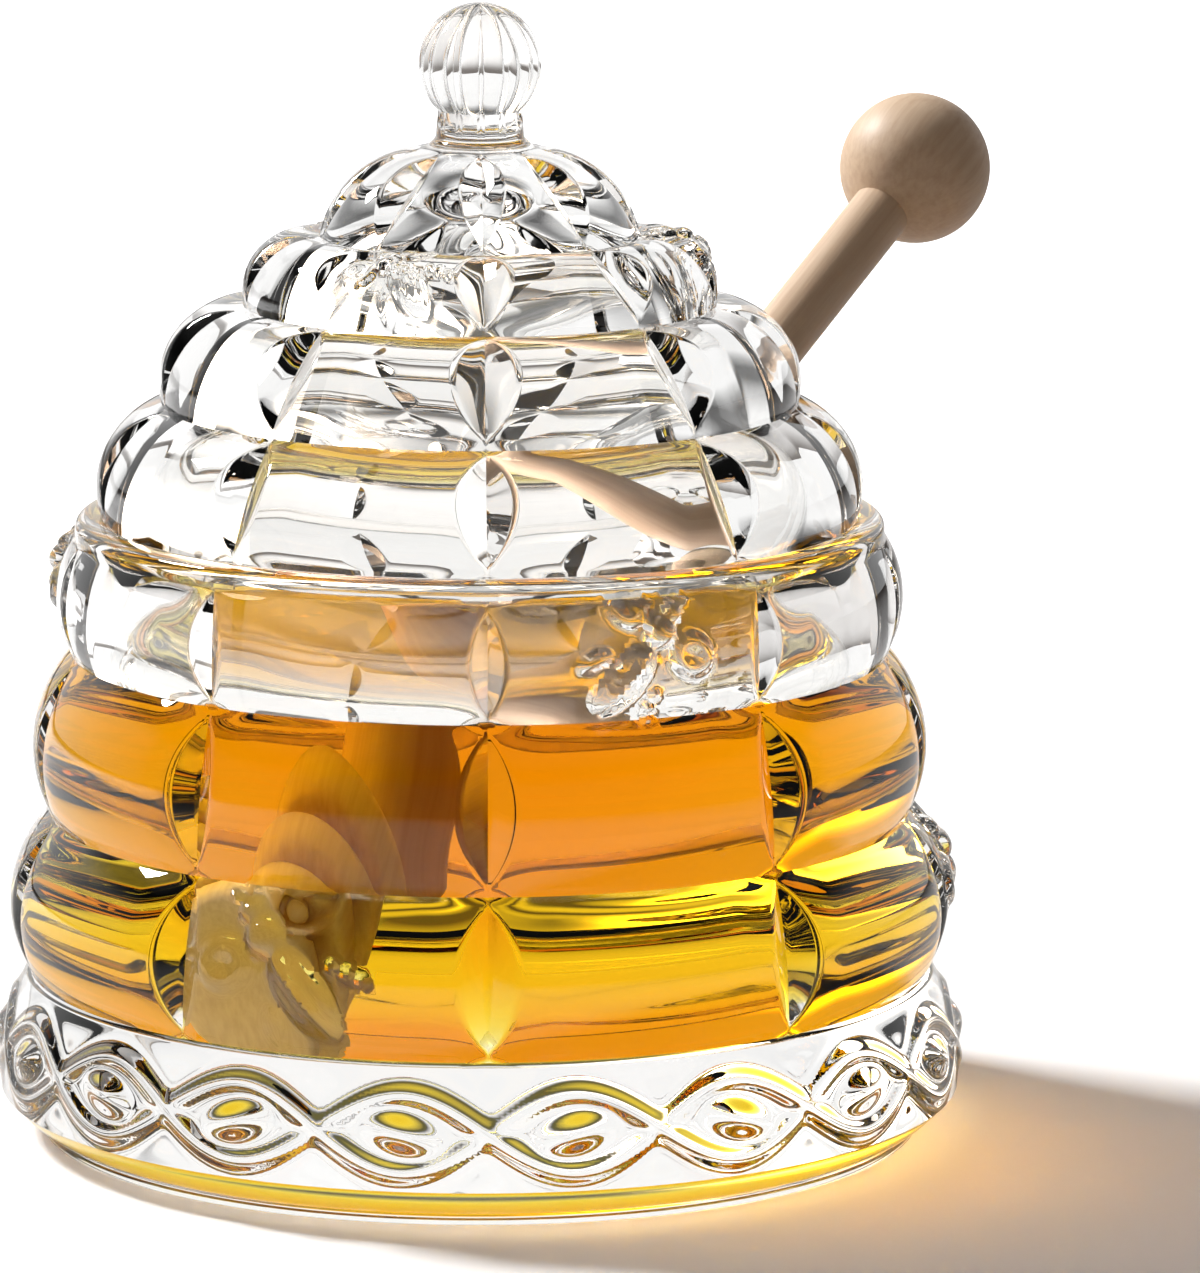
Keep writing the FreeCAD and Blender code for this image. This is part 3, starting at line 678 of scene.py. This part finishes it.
lamp_glow.inputs["From Min"].default_value = 0.78
lamp_glow.inputs["From Max"].default_value = 0.99
lamp_glow.inputs["To Min"].default_value = 0.0
lamp_glow.inputs["To Max"].default_value = 8.0
with_glow = nodes.new("ShaderNodeVectorMath")
with_glow.operation = "MULTIPLY_ADD"
with_glow.inputs[1].default_value = (1.0, 0.84, 0.66)
behind = nodes.new("ShaderNodeMapRange")
behind.inputs["From Min"].default_value = 0.05
behind.inputs["From Max"].default_value = 0.75
behind.inputs["To Min"].default_value = 0.1
behind.inputs["To Max"].default_value = 1.0
in_front_dimmer = nodes.new("ShaderNodeVectorMath")
in_front_dimmer.operation = "SCALE"
lamp_through = nodes.new("ShaderNodeVectorMath")
lamp_through.operation = "MULTIPLY_ADD"
lamp_through.inputs[1].default_value = (1.9, 1.62, 1.45)
lamp_through.inputs[2].default_value = (0.17, 0.145, 0.125)
after_dull = nodes.new("ShaderNodeMath")
after_dull.operation = "GREATER_THAN"
after_dull.inputs[1].default_value = 0.5
seen = nodes.new("ShaderNodeBackground")
through = nodes.new("ShaderNodeBackground")
seen_or_through = nodes.new("ShaderNodeMixShader")
shine = nodes.new("ShaderNodeBackground")
lit = nodes.new("ShaderNodeBackground")
lit.inputs["Color"].default_value = (1.0, 0.88, 0.80, 1)
lit.inputs["Strength"].default_value = 0.17
plain = nodes.new("ShaderNodeBackground")
plain.inputs["Color"].default_value = (1, 1, 1, 1)
shine_or_not = nodes.new("ShaderNodeMixShader")
glass_or_not = nodes.new("ShaderNodeMixShader")
camera_or_not = nodes.new("ShaderNodeMixShader")
room_out = nodes.new("ShaderNodeOutputWorld")
links.new(look_way.outputs["Generated"], parts_of_way.inputs["Vector"])
links.new(parts_of_way.outputs["Z"], heights.inputs["Fac"])
links.new(look_way.outputs["Generated"], toward_lamp.inputs[0])
links.new(toward_lamp.outputs["Value"], lamp_glow.inputs["Value"])
links.new(lamp_glow.outputs["Result"], with_glow.inputs[0])
links.new(heights.outputs["Color"], with_glow.inputs[2])
links.new(with_glow.outputs["Vector"], seen.inputs["Color"])
links.new(parts_of_way.outputs["Y"], behind.inputs["Value"])
links.new(heights.outputs["Color"], in_front_dimmer.inputs[0])
links.new(behind.outputs["Result"], in_front_dimmer.inputs["Scale"])
links.new(in_front_dimmer.outputs["Vector"], shine.inputs["Color"])
links.new(ray.outputs["Is Glossy Ray"], shine_or_not.inputs["Fac"])
links.new(lit.outputs["Background"], shine_or_not.inputs[1])
links.new(shine.outputs["Background"], shine_or_not.inputs[2])
links.new(ray.outputs["Is Transmission Ray"], glass_or_not.inputs["Fac"])
links.new(shine_or_not.outputs["Shader"], glass_or_not.inputs[1])
links.new(ray.outputs["Is Camera Ray"], camera_or_not.inputs["Fac"])
links.new(lamp_glow.outputs["Result"], lamp_through.inputs[0])
links.new(lamp_through.outputs["Vector"], through.inputs["Color"])
links.new(ray.outputs["Diffuse Depth"], after_dull.inputs[0])
links.new(after_dull.outputs["Value"], seen_or_through.inputs["Fac"])
links.new(seen.outputs["Background"], seen_or_through.inputs[1])
links.new(through.outputs["Background"], seen_or_through.inputs[2])
links.new(seen_or_through.outputs["Shader"], glass_or_not.inputs[2])
links.new(glass_or_not.outputs["Shader"], camera_or_not.inputs[1])
links.new(plain.outputs["Background"], camera_or_not.inputs[2])
links.new(camera_or_not.outputs["Shader"], room_out.inputs["Surface"])

key = bpy.data.lights.new("soft_box", "AREA")
key.shape = "RECTANGLE"
key.size, key.size_y = LAMP_WIDE, LAMP_WIDE
key.energy = 21.0
key_lamp = bpy.data.objects.new("soft_box", key)
bpy.context.collection.objects.link(key_lamp)
key_lamp.location = LAMP_SPOT
key_lamp.rotation_mode = "QUATERNION"
key_lamp.rotation_quaternion = (LAMP_AIM - key_lamp.location).to_track_quat("-Z", "Y")
key_lamp.visible_transmission = False

bpy.context.scene.view_settings.view_transform = "Standard"

# ------------------------------------------------------------------ camera
# The camera stands in front of the pot and a little above it. It looks slightly down, and a
# little to the right of the middle, through a long lens.

CAMERA_SPOT = (0, -0.88, 0.218)
CAMERA_DOWN, CAMERA_ASIDE = math.radians(10.46), math.radians(0.881)

camera_data = bpy.data.cameras.new("camera")
camera_data.lens = 224.4
camera_data.sensor_width = 36
camera_data.clip_start, camera_data.clip_end = 0.05, 50
camera = bpy.data.objects.new("camera", camera_data)
bpy.context.collection.objects.link(camera)
forward = Vector((math.sin(CAMERA_ASIDE) * math.cos(CAMERA_DOWN),
                  math.cos(CAMERA_ASIDE) * math.cos(CAMERA_DOWN), -math.sin(CAMERA_DOWN)))
upward = Vector((0, -forward.z, forward.y)).normalized()
rightward = forward.cross(upward).normalized()
upward = rightward.cross(forward)
camera.matrix_world = Matrix.Translation(CAMERA_SPOT) @ Matrix(
    (rightward, upward, -forward)).transposed().to_4x4()
bpy.context.scene.camera = camera
